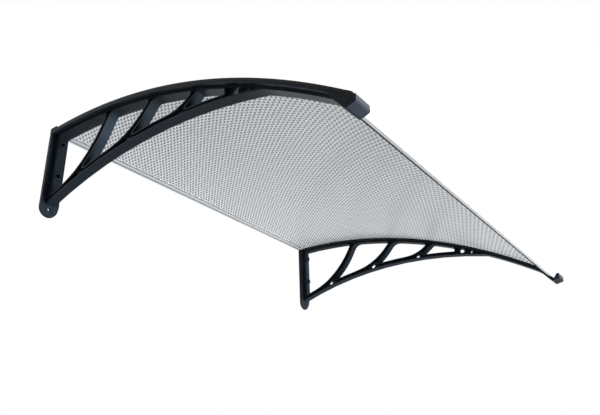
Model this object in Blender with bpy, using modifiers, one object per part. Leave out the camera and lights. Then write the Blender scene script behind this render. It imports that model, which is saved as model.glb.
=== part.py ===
"""Door awning: a curved twin-wall sheet held between two moulded lattice brackets.

Metres, +Z up. The wall is the plane y = 0 and the canopy runs out towards -Y. The origin is on
the back of the rear rail, at mid width and level with the top of the canopy's arc.
"""

import math

import bmesh
import bpy
from mathutils import Matrix, Vector

# Overall sizes
CANOPY_WIDTH = 1.200
ARC_RADIUS = 1.585
RAIL_OUT = 0.9215
SEAT_GAP = 0.0003
ARC_FACETS = 14

# Layers that lie on the arc, top to bottom
COVER_THICK = 0.0022
SHEET_THICK = 0.0045
FLANGE_THICK = 0.0040
WEB_DROP = 0.0052

# Twin-wall sheet
FLUTE_PITCH = 0.034
SKIN_THICK = 0.0006
SHEET_EDGE_IN = 0.0027

# Bracket
BRACKET_WIDTH = 0.0525
WEB_WIDTH = 0.026
POST_WIDTH = 0.022
POST_OUT = 0.024
PLATE_THICK = 0.009
FOOT_DROP = 0.2257
FOOT_HOLE_DROP = 0.229
FOOT_HOLE_RADIUS = 0.0035
BOSS_RADIUS = 0.012
BOSS_OUT = 0.027
BOSS_DROPS = (0.043, 0.1385)
BOSS_WELL_RADIUS = 0.0055
BOSS_WELL_FLOOR = 0.006
BOSS_BORE_RADIUS = 0.003
CHORD_FOOT_DROP = 0.2196
CHORD_RADIUS = 1.25
CHORD_DEPTH = 0.0148
CHORD_DEPTH_TIP = 0.0115
CHORD_STEPS = 10
TIP_LENGTH = 0.1865
RIM_THICK = 0.0036
RIM_STEP = 0.0004
INNER_WEB = 0.005
FILLET_STEPS = 4
CUT_OVER = 0.010

# Ribs from rear to front, each as head, foot and bow of its rear edge, then of its front edge.
# Heads and feet are shares of the way from the wall to the kink, and bows are in metres.
RIBS = (
    ((0.321, 0.116, 0.0180), (0.340, 0.193, 0.0130)),
    ((0.540, 0.357, 0.0145), (0.558, 0.456, 0.0060)),
    ((0.735, 0.633, 0.0065), (0.757, 0.697, 0.0015)),
)
LAST_WINDOW_END = 0.863
POCKET_END = 0.972

# How far each window's corners are cut back, from its rear top corner round over the front.
WINDOW_CUTS = (
    (0.004, 0.018, 0.040, 0.004),
    (0.024, 0.012, 0.030, 0.030),
    (0.024, 0.012, 0.015, 0.018),
    (0.006, 0.003, 0.003, 0.014),
)

# Holes in the inner web, as share of the way to the kink, lift above the chord and radius.
LIGHTENING_HOLES = (
    (0.181, 0.0165, 0.0075),
    (0.195, 0.0259, 0.0026),
    (0.436, 0.0147, 0.0075),
    (0.452, 0.0229, 0.0028),
    (0.678, 0.0112, 0.0062),
    (0.692, 0.0194, 0.0025),
    (0.894, 0.0154, 0.0075),
    (0.936, 0.0121, 0.0045),
)

# Tip cradle
CRADLE_WIDTH = 0.0460
CRADLE_LIP = 0.0028
CRADLE_FRONT = 0.0155
CRADLE_HEEL_BACK = 0.0070
CRADLE_HEEL_DROP = 0.0075
CRADLE_ROOT = 0.035
CRADLE_ROOT_CUT = 0.008
CRADLE_CORNER = 0.004
CRADLE_TOP_CUT = 0.002
CRADLE_INNER_CUT = 0.0004

# Rails
RAIL_WALL = 0.0015
RAIL_LIP = 0.0012
SLOT_SLACK = 0.001
FRONT_RAIL_DEPTH = 0.018
FRONT_RAIL_HEIGHT = 0.020
FRONT_GROOVES = (0.0060, 0.0145)
GROOVE_WIDTH = 0.0012
GROOVE_DEPTH = 0.0007
REAR_RAIL_DEPTH = 0.028
REAR_RAIL_RISE = 0.0050
SLOT_DEPTH_FRONT = 0.0125
SLOT_DEPTH_REAR = 0.017
RAIL_CORNER = 0.002

# Cover strips and end caps
SKIRT_THICK = 0.0022
COVER_EDGE = 0.0008
FRONT_CAP_THICK = 0.0065
CAP_CORNER = 0.005
PLUG_LENGTH = 0.010

# Screws
COVER_SCREW_FACETS = (1, 5, 9, 12)
SHANK_RADIUS = 0.002
SCREW_CLEARANCE = 0.0005
SCREW_HEAD_RADIUS = 0.0042
SCREW_HEAD_HEIGHT = 0.0024
COVER_SCREW_LENGTH = 0.013
PILOT_SPARE = 0.002
RAIL_SCREW_SEAT = 0.004
RAIL_SCREW_LENGTH = 0.009
SCREW_SIDES = 12

# Depths below the top arc, and the places that follow from them
sheet_top = COVER_THICK + SEAT_GAP
sheet_bottom = sheet_top + SHEET_THICK
flange_top = sheet_bottom + SEAT_GAP
flange_bottom = flange_top + FLANGE_THICK
flange_middle = (flange_top + flange_bottom) / 2
web_bottom = flange_bottom + WEB_DROP
slot_top = sheet_top - SEAT_GAP
slot_bottom = sheet_bottom + SEAT_GAP
sheet_drop = ARC_RADIUS - math.sqrt((ARC_RADIUS - sheet_bottom) ** 2 - REAR_RAIL_DEPTH**2)
rear_slot_bottom = sheet_drop + SEAT_GAP
rear_rail_bottom = rear_slot_bottom + RAIL_LIP
bracket_x = CANOPY_WIDTH / 2 - BRACKET_WIDTH / 2
kink_out = RAIL_OUT - TIP_LENGTH
rail_angle = math.asin(RAIL_OUT / ARC_RADIUS)
arm_end_angle = rail_angle - SEAT_GAP / ARC_RADIUS
facet_angle = arm_end_angle / ARC_FACETS


def clear_scene():
    for obj in list(bpy.data.objects):
        bpy.data.objects.remove(obj, do_unlink=True)


def new_collection(name):
    collection = bpy.data.collections.new(name)
    bpy.context.scene.collection.children.link(collection)
    return collection


def principled(name, colour, roughness, metallic=0.0):
    material = bpy.data.materials.new(name)
    material.use_nodes = True
    shader = material.node_tree.nodes["Principled BSDF"]
    shader.inputs["Base Color"].default_value = (*colour, 1.0)
    shader.inputs["Roughness"].default_value = roughness
    shader.inputs["Metallic"].default_value = metallic
    return material


def on_arc(angle, depth):
    """Side-view point (out, up) at an angle from the wall and a depth below the top arc."""
    radius = ARC_RADIUS - depth
    return Vector((radius * math.sin(angle), radius * math.cos(angle) - ARC_RADIUS))


def on_arm(out, depth):
    """Side-view point of the arc at that depth, at a distance out from the wall."""
    return Vector((out, math.sqrt((ARC_RADIUS - depth) ** 2 - out**2) - ARC_RADIUS))


def chord_centre():
    """Centre of the lower chord's underside, which runs from the wall plate to the kink."""
    foot = Vector((PLATE_THICK, -CHORD_FOOT_DROP))
    kink = on_arm(kink_out, web_bottom)
    span = kink - foot
    down = Vector((span.y, -span.x)).normalized()
    return (foot + kink) / 2 + down * math.sqrt(CHORD_RADIUS**2 - (span.length / 2) ** 2)


def on_chord(out, lift):
    """Side-view point a lift above the lower chord's underside."""
    centre = chord_centre()
    radius = CHORD_RADIUS + lift
    return Vector((out, centre.y + math.sqrt(radius**2 - (out - centre.x) ** 2)))


def side_frame(x, out=0.0, up=0.0, tilt=0.0):
    """Places a side profile: its first axis points out from the wall, and its second up."""
    along = Vector((0, -math.cos(tilt), -math.sin(tilt)))
    above = Vector((0, -math.sin(tilt), math.cos(tilt)))
    axes = Matrix((along, above, Vector((-1, 0, 0)))).transposed().to_4x4()
    return Matrix.Translation((x, -out, up)) @ axes


def front_frame(x, out):
    """Places a front profile: its first axis is X, and its second up."""
    axes = Matrix(((1, 0, 0), (0, 0, -1), (0, 1, 0))).to_4x4()
    return Matrix.Translation((x, -out, 0)) @ axes


def rail_frame(x):
    """Places a profile on the front rail, whose back top edge lies on the arc."""
    corner = on_arc(rail_angle, 0)
    return side_frame(x, corner.x, corner.y, rail_angle)


def on_rail(along, below):
    """Side-view point in the front rail's own directions, from its back top edge."""
    tangent = Vector((math.cos(rail_angle), -math.sin(rail_angle)))
    inward = Vector((-math.sin(rail_angle), -math.cos(rail_angle)))
    return on_arc(rail_angle, 0) + tangent * along + inward * below


def straight(start, end):
    return lambda t: start.lerp(end, t)


def bowed(start, end, bow):
    """A rib's edge: a quadratic curve that stands off its chord by the bow at its middle."""
    span = end - start
    control = (start + end) / 2 + Vector((-span.y, span.x)).normalized() * bow * 2
    return lambda t: start * (1 - t) ** 2 + control * (2 * t * (1 - t)) + end * t**2


def turned_back(edge):
    return lambda t: edge(1 - t)


def closed_loop(edges, cuts, steps):
    """Joins edges end to end. Each corner is cut back along both its edges and rounded."""
    runs = []
    for index, edge in enumerate(edges):
        length = (edge(1) - edge(0)).length
        first = cuts[index] / length
        last = 1 - cuts[(index + 1) % len(edges)] / length
        runs.append([edge(first + (last - first) * i / steps) for i in range(steps + 1)])
    points = []
    for index, run in enumerate(runs):
        following = (index + 1) % len(edges)
        corner = edges[following](0)
        end = runs[following][0]
        points += run
        for i in range(1, FILLET_STEPS):
            t = i / FILLET_STEPS
            points.append(run[-1] * (1 - t) ** 2 + corner * (2 * t * (1 - t)) + end * t**2)
    return without_doubles(points)


def without_doubles(points):
    return [p for i, p in enumerate(points) if (p - points[i - 1]).length > 1e-5]


def polygon(corners, cuts):
    """A straight-sided outline with rounded corners, where a cut is zero for a sharp one."""
    corners = [Vector(c) for c in corners]
    edges = [straight(c, corners[(i + 1) % len(corners)]) for i, c in enumerate(corners)]
    return closed_loop(edges, cuts, 1)


def circle(centre, radius, sides=14):
    turns = [2 * math.pi * i / sides for i in range(sides)]
    return [centre + Vector((math.cos(t), math.sin(t))) * radius for t in turns]


def arc_run(point, start, end, steps):
    """Points of an arc given as a function, from start to end."""
    return [point(start + (end - start) * i / steps) for i in range(steps + 1)]


def evaluated_mesh(obj):
    bpy.context.view_layer.update()
    graph = bpy.context.evaluated_depsgraph_get()
    mesh = bpy.data.meshes.new_from_object(obj.evaluated_get(graph))
    shape = bmesh.new()
    shape.from_mesh(mesh)
    bmesh.ops.remove_doubles(shape, verts=shape.verts[:], dist=1e-6)
    bmesh.ops.recalc_face_normals(shape, faces=shape.faces[:])
    shape.to_mesh(mesh)
    shape.free()
    return mesh


def extruded(name, loops, width, frame):
    """A flat outline, given an even thickness to both sides, as a mesh object."""
    curve = bpy.data.curves.new(name, "CURVE")
    curve.dimensions = "2D"
    curve.fill_mode = "BOTH"
    curve.extrude = width / 2
    for loop in loops:
        spline = curve.splines.new("POLY")
        spline.points.add(len(loop) - 1)
        for point, place in zip(spline.points, loop):
            point.co = (place[0], place[1], 0, 1)
        spline.use_cyclic_u = True
    guide = bpy.data.objects.new(name + "_outline", curve)
    parts.objects.link(guide)
    mesh = evaluated_mesh(guide)
    bpy.data.objects.remove(guide, do_unlink=True)
    solid = bpy.data.objects.new(name, mesh)
    solid.matrix_world = frame
    parts.objects.link(solid)
    return solid


def carried_round(name, loops, angles):
    """A section in X and depth, carried round the arc through the given angles."""
    shape = bmesh.new()
    for loop in loops:
        corners = [shape.verts.new((x, *arc_place(angles[0], depth))) for x, depth in loop]
        for index, corner in enumerate(corners):
            shape.edges.new((corner, corners[(index + 1) % len(corners)]))
    bmesh.ops.triangle_fill(shape, edges=shape.edges[:], use_beauty=True)
    section = shape.faces[:]
    for before, after in zip(angles, angles[1:]):
        grown = bmesh.ops.extrude_face_region(shape, geom=section)["geom"]
        if before != angles[0]:
            bmesh.ops.delete(shape, geom=[f for f in section if f.is_valid], context="FACES")
        section = [item for item in grown if isinstance(item, bmesh.types.BMFace)]
        bmesh.ops.rotate(
            shape,
            verts=[item for item in grown if isinstance(item, bmesh.types.BMVert)],
            cent=(0, 0, -ARC_RADIUS),
            matrix=Matrix.Rotation(after - before, 3, "X"),
        )
    bmesh.ops.recalc_face_normals(shape, faces=shape.faces[:])
    mesh = bpy.data.meshes.new(name)
    shape.to_mesh(mesh)
    shape.free()
    solid = bpy.data.objects.new(name, mesh)
    parts.objects.link(solid)
    return solid


def arc_place(angle, depth):
    place = on_arc(angle, depth)
    return -place.x, place.y


def rod(name, radius, start, end, sides=SCREW_SIDES):
    """A cylinder between two points."""
    span = Vector(end) - Vector(start)
    shape = bmesh.new()
    turn = span.to_track_quat("Z", "Y").to_matrix().to_4x4()
    bmesh.ops.create_cone(
        shape,
        cap_ends=True,
        segments=sides,
        radius1=radius,
        radius2=radius,
        depth=span.length,
        matrix=Matrix.Translation((Vector(start) + Vector(end)) / 2) @ turn,
    )
    mesh = bpy.data.meshes.new(name)
    shape.to_mesh(mesh)
    shape.free()
    solid = bpy.data.objects.new(name, mesh)
    parts.objects.link(solid)
    return solid


def combine(target, tools, operation):
    """Unites the tools with the target or cuts them from it, and keeps them as wire cutters."""
    for tool in tools:
        modifier = target.modifiers.new(operation.lower(), "BOOLEAN")
        modifier.operation = operation
        modifier.solver = "EXACT"
        modifier.object = tool
        parts.objects.unlink(tool)
        cutters.objects.link(tool)
        tool.hide_render = True
        tool.display_type = "WIRE"
    mesh = evaluated_mesh(target)
    target.modifiers.clear()
    target.data = mesh


def finish(obj, material, smooth=True):
    obj.data.materials.clear()
    obj.data.materials.append(material)
    if smooth:
        obj.data.shade_smooth()
        obj.data.set_sharp_from_angle(angle=math.radians(35))


def facet_line(facet):
    """Angle of a facet's middle and its depth there, at the top of the cover strip."""
    angle = (facet + 0.5) * facet_angle
    return angle, ARC_RADIUS * (1 - math.cos(facet_angle / 2))


def screw_path(x, facet, shallow, deep):
    """Two points on a cover screw's axis, at depths below the cover's top facet."""
    angle, sink = facet_line(facet)
    return [(x, *arc_place(angle, sink + depth)) for depth in (shallow, deep)]


def lattice_outline():
    """The bracket's outer edge: arc of the arm, tip, lower chord and the foot at the wall."""
    top = arc_run(lambda a: on_arc(a, flange_middle), 0.002, arm_end_angle, ARC_FACETS)
    tip = on_arc(arm_end_angle, web_bottom)
    under_tip = arc_run(lambda o: on_arm(o, web_bottom), tip.x, kink_out, 4)
    under_chord = arc_run(lambda o: on_chord(o, 0), kink_out, PLATE_THICK / 2, CHORD_STEPS)
    return top + under_tip + under_chord[1:]


def inside_frame(wall, lift, depth, end):
    """The outline inside the frame: a lift above the chord's underside, and under the arm."""
    last = end * kink_out
    under = arc_run(lambda o: on_chord(o, lift), wall, last, CHORD_STEPS)
    return under + arc_run(lambda o: on_arm(o, depth), last, wall, CHORD_STEPS)


def grown(loop, distance):
    """A closed outline with every side moved outward by the same distance."""
    area = sum(a.cross(b) for a, b in zip(loop, loop[1:] + loop[:1]))
    sides = [(b - a).normalized() for a, b in zip(loop, loop[1:] + loop[:1])]
    outward = [Vector((s.y, -s.x)) * math.copysign(1, area) for s in sides]
    return [
        corner + (before + after) * (distance / (1 + before.dot(after)))
        for corner, before, after in zip(loop, outward[-1:] + outward[:-1], outward)
    ]


def make_lattice():
    """Frame and window rims of full width, with a thin inner web between them."""
    pocket = inside_frame(PLATE_THICK - RIM_STEP, RIM_THICK, web_bottom - RIM_THICK / 2, POCKET_END)
    lattice = extruded("bracket", [lattice_outline(), pocket], WEB_WIDTH, side_frame(0))
    members = [
        extruded("rim", [grown(loop, RIM_THICK), loop], WEB_WIDTH - 2 * RIM_STEP, side_frame(0))
        for loop in windows()
    ]
    web = [inside_frame(RIM_STEP, RIM_THICK / 2, flange_bottom + RIM_STEP, 1)]
    web += lightening_holes() + [grown(loop, RIM_THICK / 3) for loop in windows()]
    members.append(extruded("inner_web", web, INNER_WEB, side_frame(0)))
    return lattice, members


def rib_edges(rib):
    """A rib's rear and front edges, each from its head on the arm to its foot on the chord."""
    edges = []
    for head, foot, bow in rib:
        start = on_arm(head * kink_out, web_bottom)
        end = on_chord(foot * kink_out, CHORD_DEPTH)
        edges.append(bowed(start, end, bow))
    return edges


def windows():
    first, second, third = (rib_edges(rib) for rib in RIBS)
    wall = PLATE_THICK / 2
    wall_side = straight(on_chord(wall, CHORD_DEPTH), on_arm(wall, web_bottom))
    last = LAST_WINDOW_END * kink_out
    tip_side = straight(on_arm(last, web_bottom), on_chord(last, CHORD_DEPTH_TIP))
    loops = [
        window(wall_side, first[0], CHORD_DEPTH, WINDOW_CUTS[0]),
        window(turned_back(first[1]), second[0], CHORD_DEPTH, WINDOW_CUTS[1]),
        window(turned_back(second[1]), third[0], CHORD_DEPTH, WINDOW_CUTS[2]),
    ]
    front_foot = on_chord(third[1](1).x, CHORD_DEPTH_TIP)
    rear_side = turned_back(bowed(third[1](0), front_foot, RIBS[2][1][2]))
    loops.append(window(rear_side, tip_side, CHORD_DEPTH_TIP, WINDOW_CUTS[3]))
    return loops


def window(rear_side, front_side, lift, cuts):
    """An opening between arm and chord. Cuts run from the rear top corner, over the front."""
    rear_top, front_top = rear_side(1).x, front_side(0).x
    front_foot, rear_foot = front_side(1).x, rear_side(0).x
    return closed_loop(
        [
            lambda t: on_arm(rear_top + (front_top - rear_top) * t, web_bottom),
            front_side,
            lambda t: on_chord(front_foot + (rear_foot - front_foot) * t, lift),
            rear_side,
        ],
        cuts,
        5,
    )


def lightening_holes():
    return [circle(on_chord(s * kink_out, lift), radius) for s, lift, radius in LIGHTENING_HOLES]


def cradle_outline():
    """The tip's hook, which holds the front rail from below and in front."""
    tilted_front = on_rail(FRONT_RAIL_DEPTH + SEAT_GAP, FRONT_RAIL_HEIGHT + SEAT_GAP)
    tilted_back = on_rail(-SEAT_GAP - RIM_STEP, FRONT_RAIL_HEIGHT + SEAT_GAP)
    rail_nose = on_rail(FRONT_RAIL_DEPTH + SEAT_GAP, 0)
    lip = rail_nose.x + CRADLE_LIP
    root = RAIL_OUT - CRADLE_ROOT
    lip_inner = rail_nose.lerp(tilted_front, 0.2)
    corners = [
        on_arm(root, flange_middle),
        on_arm(root, web_bottom),
        (tilted_front.x - CRADLE_HEEL_BACK, tilted_front.y - CRADLE_HEEL_DROP),
        (lip, lip_inner.y - CRADLE_FRONT),
        (lip, lip_inner.y),
        lip_inner,
        tilted_front,
        tilted_back,
        on_rail(-SEAT_GAP - RIM_STEP, flange_middle),
    ]
    cuts = (0, CRADLE_ROOT_CUT, CRADLE_CORNER, CRADLE_CORNER, CRADLE_TOP_CUT, CRADLE_INNER_CUT)
    return [polygon(corners, cuts + (0, 0, 0))]


def plate_outline():
    """The wall plate: square at the top, with a half-round foot and the foot's screw hole."""
    half = BRACKET_WIDTH / 2
    turns = [math.pi * i / 14 for i in range(15)]
    foot = [Vector((half * math.cos(t), -FOOT_DROP - half * math.sin(t))) for t in turns]
    top = [Vector((-half, -flange_middle)), Vector((half, -flange_middle))]
    hole = circle(Vector((0, -FOOT_HOLE_DROP)), FOOT_HOLE_RADIUS)
    return [foot + top, hole]


def make_bracket():
    """The left moulding: lattice, arm flange, wall plate, post with bosses, and tip cradle."""
    bracket, members = make_lattice()
    half = BRACKET_WIDTH / 2
    section = [(-half, flange_top), (half, flange_top), (half, flange_bottom)]
    section.append((-half, flange_bottom))
    angles = [facet_angle * i for i in range(ARC_FACETS + 1)]
    flange = carried_round("arm_flange", [section], angles)
    plate = extruded("wall_plate", plate_outline(), PLATE_THICK, front_frame(0, PLATE_THICK / 2))
    inside = PLATE_THICK / 2
    post_corners = [
        on_arm(inside, flange_middle),
        on_arm(POST_OUT, flange_middle),
        on_chord(POST_OUT, CHORD_DEPTH / 2),
        on_chord(inside, CHORD_DEPTH / 2),
    ]
    post = extruded("post", [post_corners], POST_WIDTH, side_frame(0))
    cradle_x = (CRADLE_WIDTH - BRACKET_WIDTH) / 2 + RIM_STEP
    cradle = extruded("cradle", cradle_outline(), CRADLE_WIDTH, side_frame(cradle_x))
    bosses = [
        rod("boss", BOSS_RADIUS, (0, -inside, -drop), (0, -BOSS_OUT, -drop), 20)
        for drop in BOSS_DROPS
    ]
    combine(bracket, [*members, flange, plate, post, cradle, *bosses], "UNION")

    over = CUT_OVER
    bores = []
    for drop in BOSS_DROPS:
        end = (0, -BOSS_OUT - over, -drop)
        bores.append(rod("bore", BOSS_BORE_RADIUS, (0, over, -drop), end))
        bores.append(rod("well", BOSS_WELL_RADIUS, (0, -BOSS_WELL_FLOOR, -drop), end))
    pilot = SHANK_RADIUS + SCREW_CLEARANCE
    pilots = [
        rod("pilot", pilot, *screw_path(0, facet, 0, COVER_SCREW_LENGTH + PILOT_SPARE))
        for facet in COVER_SCREW_FACETS
    ]
    ledge_corners = [
        (-over, -rear_rail_bottom - SEAT_GAP),
        (REAR_RAIL_DEPTH + SEAT_GAP, -rear_rail_bottom - SEAT_GAP),
        (REAR_RAIL_DEPTH + SEAT_GAP, over),
        (-over, over),
    ]
    ledge = extruded("ledge", [ledge_corners], BRACKET_WIDTH + over, side_frame(0))
    middle = FRONT_RAIL_DEPTH / 2
    floor = FRONT_RAIL_HEIGHT + SEAT_GAP
    seat = floor + RAIL_SCREW_SEAT
    shank_path = rail_point(middle, floor - over), rail_point(middle, seat + over)
    shank_hole = rod("shank_hole", pilot, *shank_path)
    counterbore = rod(
        "counterbore",
        SCREW_HEAD_RADIUS + SCREW_CLEARANCE,
        rail_point(middle, seat),
        rail_point(middle, seat + 2 * over),
    )
    combine(bracket, [*bores, *pilots, ledge, shank_hole, counterbore], "DIFFERENCE")
    return bracket


def rail_point(along, below):
    place = on_rail(along, below)
    return 0, -place.x, place.y


def make_brackets():
    left = make_bracket()
    left.name = "left_bracket"
    left.data.transform(left.matrix_world)
    left.matrix_world = Matrix.Identity(4)
    nylon = principled("black_nylon", (0.012, 0.013, 0.016), 0.42)
    finish(left, nylon)
    right = bpy.data.objects.new("right_bracket", left.data.copy())
    parts.objects.link(right)
    right.data.transform(Matrix.Diagonal((-1, 1, 1, 1)))
    right.data.flip_normals()
    left.location.x = -bracket_x
    right.location.x = bracket_x


def make_sheet():
    """Twin-wall polycarbonate. No web falls on the screw lines, and its flutes end open."""
    half = CANOPY_WIDTH / 2 - SHEET_EDGE_IN
    flutes = round(2 * bracket_x / FLUTE_PITCH)
    pitch = 2 * bracket_x / flutes
    top, bottom = sheet_top + SKIN_THICK, sheet_bottom - SKIN_THICK
    loops = [[(-half, sheet_top), (half, sheet_top), (half, sheet_bottom), (-half, sheet_bottom)]]
    walls = [-half] + [(i - flutes / 2 - 0.5) * pitch for i in range(flutes + 2)] + [half]
    for index, (start, end) in enumerate(zip(walls, walls[1:])):
        first = start + (SKIN_THICK if index == 0 else SKIN_THICK / 2)
        last = end - (SKIN_THICK if index == len(walls) - 2 else SKIN_THICK / 2)
        loops.append([(first, top), (last, top), (last, bottom), (first, bottom)])
    rear = REAR_RAIL_DEPTH - SLOT_DEPTH_REAR + SLOT_SLACK
    tail = (SLOT_DEPTH_FRONT - SLOT_SLACK) / ARC_RADIUS
    mouth = (REAR_RAIL_DEPTH + SEAT_GAP) / ARC_RADIUS
    angles = [math.asin(rear / ARC_RADIUS), math.asin(mouth)]
    angles += [facet_angle * i for i in range(1, ARC_FACETS + 1)]
    angles.append(rail_angle + tail)
    sheet = carried_round("canopy_sheet", loops, angles)
    holes = []
    for x in (-bracket_x, bracket_x):
        for facet in COVER_SCREW_FACETS:
            path = screw_path(x, facet, 0, flange_top)
            holes.append(rod("sheet_hole", SHANK_RADIUS + SCREW_CLEARANCE, *path))
    combine(sheet, holes, "DIFFERENCE")
    finish(sheet, principled("clear_polycarbonate", (0.72, 0.74, 0.76), 0.2))


def make_cover(name, side, material):
    """A moulded strip over the sheet's edge, with a skirt down the outer side."""
    outer, inner = CANOPY_WIDTH / 2, CANOPY_WIDTH / 2 - BRACKET_WIDTH
    section = [
        (outer, sheet_bottom),
        (outer, COVER_EDGE),
        (outer - COVER_EDGE, 0),
        (inner + COVER_EDGE, 0),
        (inner, COVER_EDGE),
        (inner, COVER_THICK),
        (outer - SKIRT_THICK, COVER_THICK),
        (outer - SKIRT_THICK, sheet_bottom),
    ]
    start = math.asin((REAR_RAIL_DEPTH + SEAT_GAP) / ARC_RADIUS)
    angles = [start] + [facet_angle * i for i in range(1, ARC_FACETS + 1)]
    cover = carried_round(name, [[(side * x, depth) for x, depth in section]], angles)
    holes = []
    for facet in COVER_SCREW_FACETS:
        path = screw_path(side * bracket_x, facet, -flange_top, flange_top)
        holes.append(rod("cover_hole", SHANK_RADIUS + SCREW_CLEARANCE, *path))
    combine(cover, holes, "DIFFERENCE")
    finish(cover, material)


def front_rail_outline():
    """The extrusion's section: slot for the sheet, hollow box and two grooves in its face."""
    depth, height = FRONT_RAIL_DEPTH, FRONT_RAIL_HEIGHT
    corners = [(0, 0), (depth, 0)]
    cuts = [0, RAIL_CORNER]
    for groove in FRONT_GROOVES:
        for edge, inset in ((-1, 0), (-1, 1), (1, 1), (1, 0)):
            below = groove + edge * GROOVE_WIDTH / 2
            corners.append((depth - inset * GROOVE_DEPTH, -below))
            cuts.append(0)
    corners += [(depth, -height), (0, -height), (0, -slot_bottom), (SLOT_DEPTH_FRONT, -slot_bottom)]
    cuts += [RAIL_CORNER, RAIL_CORNER / 2, 0, 0]
    corners += [(SLOT_DEPTH_FRONT, -slot_top), (0, -slot_top)]
    cuts += [0, 0]
    return [polygon(corners, cuts), front_chamber(0)]


def front_chamber(inset):
    low, high = slot_bottom + RAIL_WALL + inset, FRONT_RAIL_HEIGHT - RAIL_WALL - inset
    back, front = RAIL_WALL + inset, FRONT_RAIL_DEPTH - RAIL_WALL - inset
    return polygon([(back, -low), (front, -low), (front, -high), (back, -high)], (0, 0, 0, 0))


def rear_rail_outline():
    """The wall rail's section: a flat back, a slot for the sheet and a hollow box above it."""
    depth = REAR_RAIL_DEPTH
    slot_end = depth - SLOT_DEPTH_REAR
    corners = [
        (0, -rear_rail_bottom),
        (depth, -rear_rail_bottom),
        (depth, -rear_slot_bottom),
        (slot_end, -rear_slot_bottom),
        (slot_end, -slot_top),
        (depth, -slot_top),
        (depth, REAR_RAIL_RISE),
        (0, REAR_RAIL_RISE),
    ]
    return [polygon(corners, (0, 0, 0, 0, 0, 0, RAIL_CORNER, 0)), rear_chamber(0)]


def rear_chamber(inset):
    back, front = RAIL_WALL + inset, REAR_RAIL_DEPTH - RAIL_WALL - inset
    low, high = -slot_top + RAIL_WALL + inset, REAR_RAIL_RISE - RAIL_WALL - inset
    return polygon([(back, low), (front, low), (front, high), (back, high)], (0, 0, 0, 0))


def make_rails():
    aluminium = principled("anodised_aluminium", (0.78, 0.79, 0.80), 0.35, 1.0)
    front_length = CANOPY_WIDTH - 2 * (FRONT_CAP_THICK + SEAT_GAP)
    front = extruded("front_rail", front_rail_outline(), front_length, rail_frame(0))
    hole_path = (FRONT_RAIL_HEIGHT - 2 * RAIL_WALL, FRONT_RAIL_HEIGHT + RAIL_WALL)
    holes = []
    for side in (-1, 1):
        start, end = (rail_point(FRONT_RAIL_DEPTH / 2, below) for below in hole_path)
        hole = rod("rail_hole", SHANK_RADIUS + SCREW_CLEARANCE, start, end)
        hole.location.x = side * bracket_x
        holes.append(hole)
    combine(front, holes, "DIFFERENCE")
    finish(front, aluminium)
    rear_length = CANOPY_WIDTH - 2 * (SKIRT_THICK + SEAT_GAP)
    rear = extruded("rear_rail", rear_rail_outline(), rear_length, side_frame(0))
    finish(rear, aluminium)


def make_cap(name, side, slabs, frame_at, material):
    """A moulded end cap: slabs of different outline, each between two depths from its outer face."""
    solids = []
    for outline, outer, inner in slabs:
        x = side * (CANOPY_WIDTH / 2 - (outer + inner) / 2)
        solids.append(extruded(name, [outline], inner - outer, frame_at(x)))
    cap, *others = solids
    combine(cap, others, "UNION")
    cap.name = name
    finish(cap, material)


def make_caps():
    """Each cap is a plate over the rail's end, with a plug that fills the rail's hollow."""
    material = principled("black_cap_moulding", (0.012, 0.012, 0.013), 0.5)
    depth, height = FRONT_RAIL_DEPTH, FRONT_RAIL_HEIGHT
    nose = [(0, 0), (depth, 0), (depth, -height), (0, -height)]
    nose_cuts = (0, CAP_CORNER, CAP_CORNER, RAIL_CORNER)
    front_face = polygon(nose, nose_cuts)
    slot_end = SLOT_DEPTH_FRONT
    slot = [(0, -slot_bottom), (slot_end, -slot_bottom), (slot_end, -slot_top), (0, -slot_top)]
    front_collar = polygon(nose + slot, nose_cuts + (0, 0, 0, 0))
    rear_low, rear_depth = -rear_rail_bottom, REAR_RAIL_DEPTH
    rear_face = polygon(
        [(0, rear_low), (rear_depth, rear_low), (rear_depth, REAR_RAIL_RISE), (0, REAR_RAIL_RISE)],
        (0, 0, RAIL_CORNER, 0),
    )
    shared = SKIRT_THICK / 2
    front_slabs = (
        (front_face, 0, SKIRT_THICK),
        (front_collar, shared, FRONT_CAP_THICK),
        (front_chamber(SEAT_GAP), shared, FRONT_CAP_THICK + PLUG_LENGTH),
    )
    rear_slabs = (
        (rear_face, 0, SKIRT_THICK),
        (rear_chamber(SEAT_GAP), shared, SKIRT_THICK + PLUG_LENGTH),
    )
    for word, side in (("left", -1), ("right", 1)):
        make_cap(f"{word}_front_rail_cap", side, front_slabs, rail_frame, material)
        make_cap(f"{word}_rear_rail_cap", side, rear_slabs, side_frame, material)


def screw_mesh(name, length):
    """A pan-head screw: half its outline turned about Z, with the head's underside at zero."""
    radius, height = SCREW_HEAD_RADIUS, SCREW_HEAD_HEIGHT
    outline = [
        (0, height),
        (radius * 0.55, height * 0.92),
        (radius * 0.9, height * 0.6),
        (radius, 0),
        (SHANK_RADIUS, 0),
        (SHANK_RADIUS, SHANK_RADIUS - length),
        (0, -length),
    ]
    mesh = bpy.data.meshes.new(name)
    links = [(i, i + 1) for i in range(len(outline) - 1)]
    mesh.from_pydata([(x, 0, z) for x, z in outline], links, [])
    blank = bpy.data.objects.new(name, mesh)
    parts.objects.link(blank)
    turn = blank.modifiers.new("turned", "SCREW")
    turn.steps = turn.render_steps = SCREW_SIDES
    turn.use_merge_vertices = True
    turn.merge_threshold = 0.00001
    turned = evaluated_mesh(blank)
    bpy.data.objects.remove(blank, do_unlink=True)
    return turned


def place_screw(name, mesh, material, place, tilt):
    screw = bpy.data.objects.new(name, mesh)
    screw.location = place
    screw.rotation_euler = (tilt, 0, 0)
    parts.objects.link(screw)
    finish(screw, material)


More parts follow.
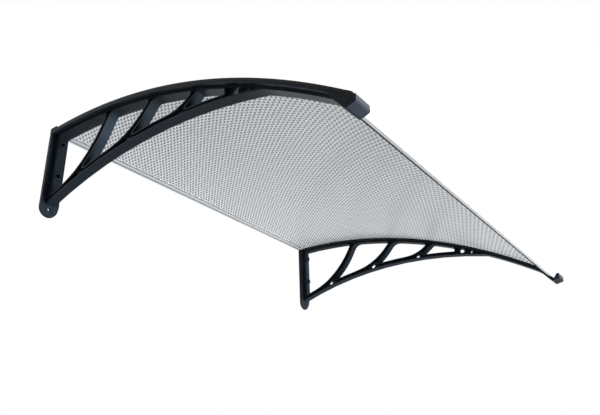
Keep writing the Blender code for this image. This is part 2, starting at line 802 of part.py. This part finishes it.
def make_screws():
    steel = principled("black_zinc_steel", (0.03, 0.03, 0.032), 0.35, 0.8)
    cover_screw = screw_mesh("cover_screw", COVER_SCREW_LENGTH)
    rail_screw = screw_mesh("rail_screw", RAIL_SCREW_LENGTH)
    for word, side in (("left", -1), ("right", 1)):
        for number, facet in enumerate(COVER_SCREW_FACETS, 1):
            angle, sink = facet_line(facet)
            place = (side * bracket_x, *arc_place(angle, sink - SEAT_GAP))
            place_screw(f"{word}_cover_screw_{number}", cover_screw, steel, place, angle)
        seat = FRONT_RAIL_HEIGHT + RAIL_SCREW_SEAT + 2 * SEAT_GAP
        place = Vector(rail_point(FRONT_RAIL_DEPTH / 2, seat))
        place.x = side * bracket_x
        place_screw(f"{word}_rail_screw", rail_screw, steel, place, rail_angle + math.pi)


clear_scene()
parts = new_collection("door_awning")
cutters = new_collection("cutters")
make_brackets()
make_sheet()
cover_black = principled("black_cover_moulding", (0.011, 0.011, 0.012), 0.55)
make_cover("left_cover_strip", -1, cover_black)
make_cover("right_cover_strip", 1, cover_black)
make_rails()
make_caps()
make_screws()
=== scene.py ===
import math

import bmesh
import bpy
import numpy as np
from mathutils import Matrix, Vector


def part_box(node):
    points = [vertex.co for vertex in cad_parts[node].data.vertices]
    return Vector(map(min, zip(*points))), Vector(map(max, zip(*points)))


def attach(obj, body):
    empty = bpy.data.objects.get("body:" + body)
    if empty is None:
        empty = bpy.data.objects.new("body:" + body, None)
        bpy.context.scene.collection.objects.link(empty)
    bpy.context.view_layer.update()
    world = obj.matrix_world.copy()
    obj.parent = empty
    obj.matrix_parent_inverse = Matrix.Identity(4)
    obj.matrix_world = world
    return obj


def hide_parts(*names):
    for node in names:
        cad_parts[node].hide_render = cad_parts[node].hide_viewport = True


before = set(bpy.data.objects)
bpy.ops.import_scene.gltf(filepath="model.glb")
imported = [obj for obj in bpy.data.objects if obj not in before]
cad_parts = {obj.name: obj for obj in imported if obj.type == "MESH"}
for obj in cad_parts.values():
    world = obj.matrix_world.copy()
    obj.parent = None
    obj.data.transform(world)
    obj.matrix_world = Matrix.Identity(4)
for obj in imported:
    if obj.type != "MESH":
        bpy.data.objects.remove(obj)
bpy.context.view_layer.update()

# Sizes are in metres. x runs along the wall, y points into it and z is up.


# The viewpoint
# A wide lens below and in front of the awning's left end, looking up at its underside without a
# tilt to either side. The picture is cropped off centre, so the lens is shifted both ways.
PHOTO_WIDTH, PHOTO_HEIGHT = 600, 415
LENS_PIXELS = 600.2
AXIS_PIXEL = (257.7, 225.7)
SENSOR_WIDTH = 36
NEAREST_SEEN = 0.05
CAMERA_PLACE = Vector((-1.3180, -1.3294, -0.8925))
CAMERA_AIM = Vector((0.7062, 0.5850, 0.3989))

lens = bpy.data.cameras.new("viewpoint")
lens.sensor_width = SENSOR_WIDTH
lens.lens = SENSOR_WIDTH * LENS_PIXELS / PHOTO_WIDTH
lens.shift_x = (PHOTO_WIDTH / 2 - AXIS_PIXEL[0]) / PHOTO_WIDTH
lens.shift_y = (AXIS_PIXEL[1] - PHOTO_HEIGHT / 2) / PHOTO_WIDTH
lens.clip_start = NEAREST_SEEN
camera = bpy.data.objects.new("viewpoint", lens)
camera.location = CAMERA_PLACE
camera.rotation_euler = CAMERA_AIM.to_track_quat("-Z", "Y").to_euler()
bpy.context.scene.collection.objects.link(camera)
bpy.context.scene.camera = camera
bpy.context.scene.view_settings.view_transform = "Standard"


# The studio
# Soft boxes in front, above and below, with none to the left, so that faces which look
# sideways stay dark. The room and the floor look plain white to the lens and in reflections.
AWNING_MIDDLE = Vector((0, -0.45, -0.15))
WHITE = "#ffffff"
# Each soft box has its place, the length of its side, its power in watts and its colour.
SOFT_BOXES = {
    "high_front_box": ((1.25, -2.5, 1.5), 1.7, 31, "#eef4fb"),
    "low_front_box": ((1.05, -2.9, -1.2), 1.3, 118, "#f0f5fb"),
    "under_box": ((0.7, -0.9, -2.1), 2.2, 44, WHITE),
    "top_box": ((0.2, -0.8, 2.4), 2.5, 24, WHITE),
}
ROOM_LIGHT = 0.24
ROOM_COLOUR = "#f6f8fa"
FLOOR_DROP = 2.2
FLOOR_SIZE = 90
PAPER_COLOUR = "#e8e8e8"
PAPER_GLOW = 0.85


def linear(code):
    """An sRGB hex colour as the linear values that a shader takes, by the sRGB curve."""
    shares = np.array([int(code[i : i + 2], 16) for i in (1, 3, 5)]) / 255
    curve = np.where(shares <= 0.04045, shares / 12.92, ((shares + 0.055) / 1.055) ** 2.4)
    return (*curve.tolist(), 1.0)


def add_node(tree, kind, inputs=None, **settings):
    """Adds a node with its settings, each input linked to an output or set to a plain value."""
    node = tree.nodes.new(kind)
    for key, value in settings.items():
        setattr(node, key, value)
    for socket, value in (inputs or {}).items():
        if isinstance(value, bpy.types.NodeSocket):
            tree.links.new(value, node.inputs[socket])
        else:
            node.inputs[socket].default_value = value
    return node


for name, (place, side_length, watts, colour) in SOFT_BOXES.items():
    lamp = bpy.data.lights.new(name, "AREA")
    lamp.shape = "SQUARE"
    lamp.size = side_length
    lamp.energy = watts
    lamp.color = linear(colour)[:3]
    soft_box = bpy.data.objects.new(name, lamp)
    soft_box.location = place
    turn = (AWNING_MIDDLE - Vector(place)).to_track_quat("-Z", "Y")
    soft_box.rotation_euler = turn.to_euler()
    bpy.context.scene.collection.objects.link(soft_box)

world = bpy.data.worlds.new("studio_room")
bpy.context.scene.world = world
world.use_nodes = True
room = world.node_tree
room.nodes.clear()
rays = add_node(room, "ShaderNodeLightPath").outputs
straight = add_node(
    room,
    "ShaderNodeMath",
    {0: rays["Is Camera Ray"], 1: rays["Is Transmission Ray"]},
    operation="MAXIMUM",
)
seen = add_node(
    room,
    "ShaderNodeMath",
    {0: straight.outputs[0], 1: rays["Is Glossy Ray"]},
    operation="MAXIMUM",
)
lit = add_node(room, "ShaderNodeBackground", {"Color": linear(ROOM_COLOUR), "Strength": ROOM_LIGHT})
white = add_node(room, "ShaderNodeBackground", {"Color": linear(WHITE), "Strength": 1.0})
blend = add_node(
    room, "ShaderNodeMixShader", {0: seen.outputs[0], 1: lit.outputs[0], 2: white.outputs[0]}
)
add_node(room, "ShaderNodeOutputWorld", {"Surface": blend.outputs[0]})

# Matt white paper, which the lens sees mostly as plain white, with a little of its own shading.
paper = bpy.data.materials.new("white_paper_sweep")
paper.use_nodes = True
tree = paper.node_tree
tree.nodes.clear()
rays = add_node(tree, "ShaderNodeLightPath").outputs
matt = add_node(tree, "ShaderNodeBsdfDiffuse", {"Color": linear(PAPER_COLOUR)})
glow = add_node(tree, "ShaderNodeEmission", {"Color": linear(WHITE), "Strength": 1.0})
shown = add_node(
    tree, "ShaderNodeMath", {0: rays["Is Camera Ray"], 1: PAPER_GLOW}, operation="MULTIPLY"
)
mixed = add_node(
    tree, "ShaderNodeMixShader", {0: shown.outputs[0], 1: matt.outputs[0], 2: glow.outputs[0]}
)
add_node(tree, "ShaderNodeOutputMaterial", {"Surface": mixed.outputs[0]})

reach = FLOOR_SIZE / 2
floor_corners = [(-reach, -reach), (reach, -reach), (reach, reach), (-reach, reach)]
floor_mesh = bpy.data.meshes.new("studio_floor")
floor_mesh.from_pydata([(x, y, -FLOOR_DROP) for x, y in floor_corners], [], [(0, 1, 2, 3)])
floor_mesh.materials.append(paper)
floor = bpy.data.objects.new("studio_floor", floor_mesh)
bpy.context.scene.collection.objects.link(floor)


# Canopy sheet
# One extruded twin-wall polycarbonate sheet, cold-bent over the brackets and held in the rails.
# Its skins sink a little between the inner walls, which show through as pale stripes. Two fine
# slanting families of lines cross them and give the sheet its woven look.
ARC_RADIUS = 1.585
SHEET_TOP = 0.0025
SHEET_THICK = 0.0045
SKIN_SINK = 0.00035
POINTS_PER_FLUTE = 4
SHEET_STEPS = 48
FRONT_MARGIN_ANGLE = 0.0001
# The real flutes are about 5 mm apart, too fine to show, so they are drawn 12.5 mm apart, and
# the slanting lines 9 and 9.5 mm apart.
FLUTE_PITCH = 0.0125
# Each slanting family has its pitch and its turn from the flutes. The second is the weaker.
SLANTING_LINES = ((0.0090, math.radians(44)), (0.0095, math.radians(70)))
SECOND_SHARE = 0.75
# The sum of the three cosines at which the sheet is at its darkest or lightest.
FULL_TONE = 1.6
SHEET_DARK, SHEET_MIDDLE, SHEET_LIGHT = "#4e5156", "#f0f1f3", "#ffffff"


def new_material(name):
    """An empty node material."""
    material = bpy.data.materials.new(name)
    material.use_nodes = True
    material.node_tree.nodes.clear()
    return material


def stripes(tree, length, pitch):
    """The cosine of a length, with one wave to each pitch."""
    phase = add_node(
        tree, "ShaderNodeMath", {0: length, 1: 2 * math.pi / pitch}, operation="MULTIPLY"
    )
    return add_node(tree, "ShaderNodeMath", {0: phase.outputs[0]}, operation="COSINE").outputs[0]


def arc_surface(x, angle, depth):
    """Points of the awning's arc, a circle round an axis along x.

    A point lies at x, turned by the angle out from the wall's end of the arc, on a circle whose
    radius is the arc's less the depth, and with the arc's highest line at height nought.
    """
    radius = ARC_RADIUS - depth
    out = -radius * np.sin(angle)
    up = radius * np.cos(angle) - ARC_RADIUS
    return np.stack(np.broadcast_arrays(x, out, up), -1)


def tube_faces(rings, around, joined=False):
    """Quads from each ring of points to the next, and from the last to the first if joined."""
    ring, spot = np.meshgrid(np.arange(rings - 1 + joined), np.arange(around), indexing="ij")
    near, far = ring * around, (ring + 1) % rings * around
    after = (spot + 1) % around
    return np.stack((near + spot, near + after, far + after, far + spot), -1).reshape(-1, 4)


def new_piece(name, points, faces, material, nodes=(), sharp=35):
    """A smooth mesh piece that rides on the awning and stands for the CAD nodes named."""
    mesh = bpy.data.meshes.new(name)
    mesh.from_pydata(points.reshape(-1, 3).tolist(), [], faces)
    shape = bmesh.new()
    shape.from_mesh(mesh)
    bmesh.ops.recalc_face_normals(shape, faces=shape.faces[:])
    shape.to_mesh(mesh)
    shape.free()
    mesh.shade_smooth()
    mesh.set_sharp_from_angle(angle=math.radians(sharp))
    mesh.materials.append(material)
    piece = bpy.data.objects.new(name, mesh)
    bpy.context.scene.collection.objects.link(piece)
    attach(piece, "root")
    if nodes:
        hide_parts(*nodes)


# Extruded polycarbonate: a pale milky skin with a soft gloss, which lets a little light through.
# The inner walls give it light lines and the hollows between them dark spots.
polycarbonate = new_material("twin_wall_polycarbonate")
tree = polycarbonate.node_tree
position = add_node(tree, "ShaderNodeTexCoord").outputs["Object"]
across = add_node(tree, "ShaderNodeSeparateXYZ", {0: position}).outputs["X"]
families = [stripes(tree, across, FLUTE_PITCH)]
for pitch, slant in SLANTING_LINES:
    turned = add_node(
        tree,
        "ShaderNodeVectorRotate",
        {"Vector": position, "Angle": slant},
        rotation_type="Z_AXIS",
    )
    across = add_node(tree, "ShaderNodeSeparateXYZ", {0: turned.outputs[0]}).outputs["X"]
    families.append(stripes(tree, across, pitch))
crossed = add_node(tree, "ShaderNodeMath", {0: families[0], 1: families[1]}, operation="ADD")
weave = add_node(
    tree,
    "ShaderNodeMath",
    {0: families[2], 1: SECOND_SHARE, 2: crossed.outputs[0]},
    operation="MULTIPLY_ADD",
)
tone = add_node(
    tree,
    "ShaderNodeMapRange",
    {"Value": weave.outputs[0], "From Min": -FULL_TONE, "From Max": FULL_TONE},
)
ramp = add_node(tree, "ShaderNodeValToRGB", {"Fac": tone.outputs["Result"]})
ramp.color_ramp.elements[0].color = linear(SHEET_DARK)
ramp.color_ramp.elements[1].color = linear(SHEET_LIGHT)
ramp.color_ramp.elements.new(0.5).color = linear(SHEET_MIDDLE)
skin = add_node(
    tree,
    "ShaderNodeBsdfPrincipled",
    {
        "Base Color": ramp.outputs["Color"],
        "Roughness": 0.32,
        "IOR": 1.58,
        "Specular IOR Level": 0.25,
        "Transmission Weight": 0.2,
    },
)
add_node(tree, "ShaderNodeOutputMaterial", {"Surface": skin.outputs[0]})

# Both skins are arcs from edge to edge, and sink by a raised cosine of x over each flute.
low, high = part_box("canopy_sheet")
half_width = high[0]
count = round(2 * half_width / FLUTE_PITCH) * POINTS_PER_FLUTE + 1
xs = np.linspace(-half_width, half_width, count)
sink = SKIN_SINK * (0.5 - 0.5 * np.cos(2 * np.pi * xs / FLUTE_PITCH))
start = math.asin(-high[1] / (ARC_RADIUS - SHEET_TOP))
end = math.asin(-low[1] / (ARC_RADIUS - SHEET_TOP)) - FRONT_MARGIN_ANGLE
angles = np.linspace(start, end, SHEET_STEPS + 1)[:, None]
upper_skin = arc_surface(xs, angles, SHEET_TOP + sink)
lower_skin = arc_surface(xs[::-1], angles, SHEET_TOP + SHEET_THICK - sink[::-1])
sheet_points = np.concatenate((upper_skin, lower_skin), axis=1)
around = 2 * count
strip = np.arange(count - 1)
rear_end = np.stack((strip, strip + 1, around - 2 - strip, around - 1 - strip), -1)
front_end = rear_end[:, ::-1] + SHEET_STEPS * around
sheet_faces = np.concatenate((tube_faces(SHEET_STEPS + 1, around), rear_end, front_end)).tolist()
new_piece(
    "ribbed_canopy_sheet",
    sheet_points,
    sheet_faces,
    polycarbonate,
    ["canopy_sheet"],
)


# Brackets
# Each is one injection moulding in glass-filled black nylon, screwed to the wall. Its arrises are
# broken by a small radius, as the mould leaves them, and below a crease its foot gets thinner.
ARRIS = 0.0005
ARRIS_SEGMENTS = 2
EDGE_BEND = math.radians(28)
FLAT_BEND = math.radians(0.4)
MERGE_DISTANCE = 1e-6
FOOT_CREASE, FOOT_END = -0.2170, -0.2420
FOOT_TAPER = 0.0062
PLATE_FRONT = -0.0090
ON_THE_FACE = 1e-4
GLOSS_SPREAD = 0.07
PEEL_HEIGHT = 0.0002
PEEL_STRENGTH = 0.15


def dark_finish(name, colour, roughness, grain, gloss_share=0.15, tint=WHITE):
    """An even dark colour whose gloss and height vary with a noise as coarse as the grain."""
    material = new_material(name)
    tree = material.node_tree
    position = add_node(tree, "ShaderNodeTexCoord").outputs["Object"]
    peel = add_node(
        tree, "ShaderNodeTexNoise", {"Vector": position, "Scale": 1 / grain, "Detail": 3.0}
    ).outputs["Fac"]
    gloss = add_node(
        tree,
        "ShaderNodeMapRange",
        {"Value": peel, "To Min": roughness - GLOSS_SPREAD, "To Max": roughness + GLOSS_SPREAD},
    )
    bump = add_node(
        tree,
        "ShaderNodeBump",
        {"Height": peel, "Strength": PEEL_STRENGTH, "Distance": PEEL_HEIGHT},
    )
    shader = add_node(
        tree,
        "ShaderNodeBsdfPrincipled",
        {
            "Base Color": linear(colour),
            "Roughness": gloss.outputs["Result"],
            "Normal": bump.outputs["Normal"],
            "IOR": 1.5,
            "Specular IOR Level": gloss_share,
            "Specular Tint": linear(tint),
        },
    )
    add_node(tree, "ShaderNodeOutputMaterial", {"Surface": shader.outputs[0]})
    return material


def foot_setback(heights):
    """How far back the plate's face lies: nothing above the crease, then evenly more below it."""
    return FOOT_TAPER * np.clip((FOOT_CREASE - heights) / (FOOT_CREASE - FOOT_END), 0, 1)


def softened_bracket(node, name, material):
    """A bracket's own shape with its triangles merged, its foot thinned and its arrises rounded."""
    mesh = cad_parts[node].data.copy()
    shape = bmesh.new()
    shape.from_mesh(mesh)
    bmesh.ops.remove_doubles(shape, verts=shape.verts[:], dist=MERGE_DISTANCE)
    bmesh.ops.dissolve_limit(
        shape, angle_limit=FLAT_BEND, verts=shape.verts[:], edges=shape.edges[:]
    )
    bmesh.ops.bisect_plane(
        shape,
        geom=shape.verts[:] + shape.edges[:] + shape.faces[:],
        plane_co=(0, 0, FOOT_CREASE),
        plane_no=(0, 0, 1),
        dist=MERGE_DISTANCE,
    )
    shape.to_mesh(mesh)
    shape.free()
    places = np.empty(len(mesh.vertices) * 3)
    mesh.vertices.foreach_get("co", places)
    places = places.reshape(-1, 3)
    on_front = np.abs(places[:, 1] - PLATE_FRONT) < ON_THE_FACE
    places[:, 1] += np.where(on_front, foot_setback(places[:, 2]), 0)
    mesh.vertices.foreach_set("co", places.ravel())
    mesh.name = name
    mesh.materials.clear()
    mesh.materials.append(material)
    mesh.shade_smooth()
    mesh.set_sharp_from_angle(angle=EDGE_BEND)
    piece = bpy.data.objects.new(name, mesh)
    bpy.context.scene.collection.objects.link(piece)
    bevel = piece.modifiers.new("arris", "BEVEL")
    bevel.width = ARRIS
    bevel.segments = ARRIS_SEGMENTS
    bevel.limit_method = "ANGLE"
    bevel.angle_limit = EDGE_BEND
    bevel.harden_normals = True
    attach(piece, "root")
    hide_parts(node)


# Glass-filled nylon from a polished mould: near black, half glossy, with a cold blue sheen. Its
# real orange peel is under half a millimetre, too fine to show, so the grain is drawn at 1.6 mm.
nylon = dark_finish(
    "glass_filled_black_nylon",
    "#1e242a",
    roughness=0.36,
    grain=0.0016,
    gloss_share=0.14,
    tint="#a9c8e2",
)
for side in ("left", "right"):
    softened_bracket(f"{side}_bracket", f"{side}_moulded_bracket", nylon)


# Boss rims
# The raised ring round each wall screw's hole in a bracket, moulded with it in the same nylon.
# The screw's washer bears on it. Two are on the post's bosses and one is on the foot.
# Each side has its name and the sign of its x.
SIDES = (("left", -1), ("right", 1))
BOSS_LINE = 0.57375
# Each rim has the distance out from the wall, the height and the radius of its hole.
RIM_PLACES = ((0.0270, -0.0430, 0.0056), (0.0270, -0.1385, 0.0056), (0.0090, -0.2290, 0.0037))
RIM_WIDTH = 0.0046
RIM_RISE = 0.0009
RIM_SINK = 0.0005
RIM_STEPS = 40
CROWN_POINTS = 9


def rim(x, out, height, inside):
    """A section turned round a hole's axis, which runs straight out from the wall.

    The section's crown is half an ellipse, as wide as the rim and as high as its rise. Its root
    goes straight down from both ends of the crown into the bracket.
    """
    half_turn = np.linspace(0, np.pi, CROWN_POINTS)
    crown_radius = inside + RIM_WIDTH / 2 * (1 - np.cos(half_turn))
    radius = np.concatenate((crown_radius, (inside + RIM_WIDTH, inside)))
    rise = np.concatenate((RIM_RISE * np.sin(half_turn), (-RIM_SINK, -RIM_SINK)))
    turns = np.linspace(0, 2 * np.pi, RIM_STEPS, endpoint=False)[:, None]
    across, up = radius * np.cos(turns), radius * np.sin(turns)
    return np.stack(np.broadcast_arrays(x + across, -out - rise, height + up), -1)


section_points = CROWN_POINTS + 2
firsts = np.arange(len(RIM_PLACES))[:, None, None] * RIM_STEPS * section_points
rim_faces = (tube_faces(RIM_STEPS, section_points, joined=True) + firsts).reshape(-1, 4).tolist()
for side, sign in SIDES:
    points = np.stack([rim(sign * BOSS_LINE, *place) for place in RIM_PLACES])
    points[..., 1] += foot_setback(points[..., 2])
    new_piece(f"{side}_boss_rims", points, rim_faces, nylon)


# Cover strips
# Black ABS mouldings that clamp the sheet's side edges, screwed down into the brackets. Each is
# a flat strip with rounded upper edges and a skirt down the outer side, bent to the arc.
COVER_OUTSIDE, COVER_INSIDE = 0.6, 0.5475
COVER_THICK = 0.0022
SKIRT_THICK = 0.0022
SKIRT_DROP = 0.007
SKIRT_INSIDE = COVER_OUTSIDE - SKIRT_THICK
COVER_EDGE = 0.0008
EDGE_MIDDLE = 0.3 * COVER_EDGE
COVER_START, COVER_END = 0.01786, 0.62028
COVER_STEPS = 64
COVER_SHARP = 50
# Each point of the section has its distance from the middle and its depth below the arc.
COVER_SECTION = np.array(
    [
        (COVER_OUTSIDE, SKIRT_DROP),
        (COVER_OUTSIDE, COVER_EDGE),
        (COVER_OUTSIDE - EDGE_MIDDLE, EDGE_MIDDLE),
        (COVER_OUTSIDE - COVER_EDGE, 0),
        (COVER_INSIDE + COVER_EDGE, 0),
        (COVER_INSIDE + EDGE_MIDDLE, EDGE_MIDDLE),
        (COVER_INSIDE, COVER_EDGE),
        (COVER_INSIDE, COVER_THICK),
        (SKIRT_INSIDE, COVER_THICK),
        (SKIRT_INSIDE, SKIRT_DROP),
    ]
)


def capped_tube_faces(rings, around):
    """The quads of a tube, and its first and last rings as the faces that close it."""
    ends = np.arange(rings * around).reshape(rings, around)[[0, -1]]
    return tube_faces(rings, around).tolist() + ends.tolist()


# Moulded ABS: a neutral black, duller than the nylon. Its real grain is too fine to show, and
# is drawn at 1.2 mm.
moulding = dark_finish(
    "black_abs_moulding", "#131417", roughness=0.45, grain=0.0012, gloss_share=0.13
)
angles = np.linspace(COVER_START, COVER_END, COVER_STEPS + 1)[:, None]
cover_faces = capped_tube_faces(COVER_STEPS + 1, len(COVER_SECTION))
for side, sign in SIDES:
    points = arc_surface(sign * COVER_SECTION[:, 0], angles, COVER_SECTION[:, 1])
    new_piece(
        f"{side}_curved_cover",
        points,
        cover_faces,
        moulding,
        [f"{side}_cover_strip"],
        sharp=COVER_SHARP,
    )


# End caps
# Black ABS mouldings that close the open ends of both rails. Each is a flat plate with a spigot
# that is pushed into the rail.
def refinish(node, material):
    """Gives a CAD node's own shape a new finish."""
    for material_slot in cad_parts[node].material_slots:
        material_slot.material = material


for side in ("left", "right"):
    refinish(f"{side}_front_rail_cap", moulding)
    refinish(f"{side}_rear_rail_cap", moulding)


# Rails
# Two aluminium extrusions with a satin anodised skin. The rear one is screwed to the wall, the
# front one to the tips of the brackets.
RAIL_COLOUR = "#ebeef0"
RAIL_METALLIC = 0.35
RAIL_GLOSSIEST, RAIL_DULLEST = 0.3, 0.45
DIE_LINES_PER_METRE = 900
DIE_LINE_BREAKS_PER_METRE = 4

# Anodised aluminium: a pale satin metal, its gloss uneven in faint lines along the length, as the
# die leaves them. The real lines are about 0.1 mm apart, and are drawn ten times as coarse.
anodised = new_material("satin_anodised_aluminium")
tree = anodised.node_tree
position = add_node(tree, "ShaderNodeTexCoord").outputs["Object"]
stretch = add_node(
    tree,
    "ShaderNodeMapping",
    {
        0: position,
        "Scale": (DIE_LINE_BREAKS_PER_METRE, DIE_LINES_PER_METRE, DIE_LINES_PER_METRE),
    },
)
die_lines = add_node(
    tree, "ShaderNodeTexNoise", {"Vector": stretch.outputs[0], "Scale": 1.0, "Detail": 2.0}
)
gloss = add_node(
    tree,
    "ShaderNodeMapRange",
    {"Value": die_lines.outputs["Fac"], "To Min": RAIL_GLOSSIEST, "To Max": RAIL_DULLEST},
)
metal = add_node(
    tree,
    "ShaderNodeBsdfPrincipled",
    {
        "Base Color": linear(RAIL_COLOUR),
        "Metallic": RAIL_METALLIC,
        "Roughness": gloss.outputs["Result"],
    },
)
add_node(tree, "ShaderNodeOutputMaterial", {"Surface": metal.outputs[0]})
refinish("front_rail", anodised)
refinish("rear_rail", anodised)


# Painted shadow lines at the rails
# Dark grey beads put where shade falls: one in the gap where the sheet enters the front rail,
# and two along the underside of the rear rail, which show as thin dark lines.
SHADOW_LINE_REACH = 0.5745
SHADOW_LINE_SIDES = 16
# Each painted shadow line has its middle's y and z, half its depth and half its height.
PAINTED_SHADOW_LINES = {
    "front_rail_painted_shadow": (-0.9094, -0.3106, 0.0032, 0.0015),
    "rear_rail_painted_shadow_1": (-0.0262, -0.0088, 0.0016, 0.0005),
    "rear_rail_painted_shadow_2": (-0.0088, -0.0088, 0.0016, 0.0005),
}


def bead(y, z, half_depth, half_height):
    """A straight tube along x, whose section is an ellipse round the line at y and z."""
    turns = np.linspace(0, 2 * np.pi, SHADOW_LINE_SIDES, endpoint=False)
    ends = np.array([[-SHADOW_LINE_REACH], [SHADOW_LINE_REACH]])
    out, up = y + half_depth * np.cos(turns), z + half_height * np.sin(turns)
    return np.stack(np.broadcast_arrays(ends, out, up), -1)


# Painted shadow for these lines: a dark grey that stays matt, with a noise grain drawn
# at 1.5 mm.
shadow_line_dark = dark_finish("painted_shadow_line_dark", "#2b2d31", roughness=0.6, grain=0.0015, gloss_share=0.1)
bead_faces = capped_tube_faces(2, SHADOW_LINE_SIDES)
for name, sizes in PAINTED_SHADOW_LINES.items():
    new_piece(name, bead(*sizes), bead_faces, shadow_line_dark)


# Screws
# Black zinc-plated self-tapping screws with domed pan heads and cross recesses. Four hold each
# cover strip, and one in each tip holds the front rail.
HEAD_RADIUS, HEAD_HEIGHT = 0.0042, 0.0024
HEAD_EDGE_SHARE = 0.35
DOME_POWER = 3
HEAD_SINK = 0.0004
SHANK_RADIUS, SHANK_LENGTH = 0.0018, 0.0125
RECESS_REACH, RECESS_WIDTH, RECESS_DEPTH = 0.0023, 0.0009, 0.0012
RECESS_SIDE_SLOPE, RECESS_END_SLOPE = 0.0002, 0.0004
HEAD_RINGS, HEAD_SIDES = 22, 64
FIRST_RING_SHARE = 0.01
SCREW_ANGLES = (0.06646, 0.24369, 0.42092, 0.55384)
SCREW_SHARP = 30


def screw_points(x, angle):
    """Rings from the middle of the head out to its edge, and then down to the shank's end.

    The head's edge has a share of its height, and the rest of it is a dome: the square root of
    one less the share of the head's radius, raised to the dome's power. Each arm of the recess
    takes its depth off where the point is within its reach and half its width, with a slope
    between. The screw stands square to the arc.
    """
    share = np.linspace(FIRST_RING_SHARE, 1, HEAD_RINGS)[:, None]
    turns = np.linspace(0, 2 * np.pi, HEAD_SIDES, endpoint=False)
    across, along = HEAD_RADIUS * share * np.cos(turns), HEAD_RADIUS * share * np.sin(turns)
    dome = np.sqrt(np.maximum(1 - share**DOME_POWER, 0))
    height = HEAD_HEIGHT * (HEAD_EDGE_SHARE + (1 - HEAD_EDGE_SHARE) * dome)
    off_arm = np.minimum(np.abs(across), np.abs(along))
    along_arm = np.maximum(np.abs(across), np.abs(along))
    in_width = np.clip((RECESS_WIDTH / 2 - off_arm) / RECESS_SIDE_SLOPE + 0.5, 0, 1)
    in_reach = np.clip((RECESS_REACH - along_arm) / RECESS_END_SLOPE + 0.5, 0, 1)
    height = height - RECESS_DEPTH * in_width * in_reach
    shank_radius = np.array([[HEAD_RADIUS], [SHANK_RADIUS], [SHANK_RADIUS]])
    shank_height = np.array([[0], [0], [-SHANK_LENGTH]]) + 0 * turns
    across = np.concatenate((across, shank_radius * np.cos(turns)))[..., None]
    along = np.concatenate((along, shank_radius * np.sin(turns)))[..., None]
    height = np.concatenate((height, shank_height))[..., None]
    sideways = np.array([1, 0, 0])
    outward = np.array([0, -math.sin(angle), math.cos(angle)])
    forward = np.array([0, -math.cos(angle), -math.sin(angle)])
    seat = arc_surface(x, angle, HEAD_SINK)
    return seat + across * sideways + along * forward + height * outward


# Black zinc plating on steel: a dark grey with a half gloss. Its real grain is too fine to
# show, and is drawn at 2 mm.
zinc = dark_finish("black_zinc_plated_steel", "#22242a", roughness=0.35, grain=0.002)
screw_faces = capped_tube_faces(HEAD_RINGS + 3, HEAD_SIDES)
for side, sign in SIDES:
    for number, angle in enumerate(SCREW_ANGLES, 1):
        node = f"{side}_cover_screw_{number}"
        points = screw_points(sign * BOSS_LINE, angle)
        new_piece(
            f"{node}_pan_head",
            points,
            screw_faces,
            zinc,
            [node],
            sharp=SCREW_SHARP,
        )
    refinish(f"{side}_rail_screw", zinc)
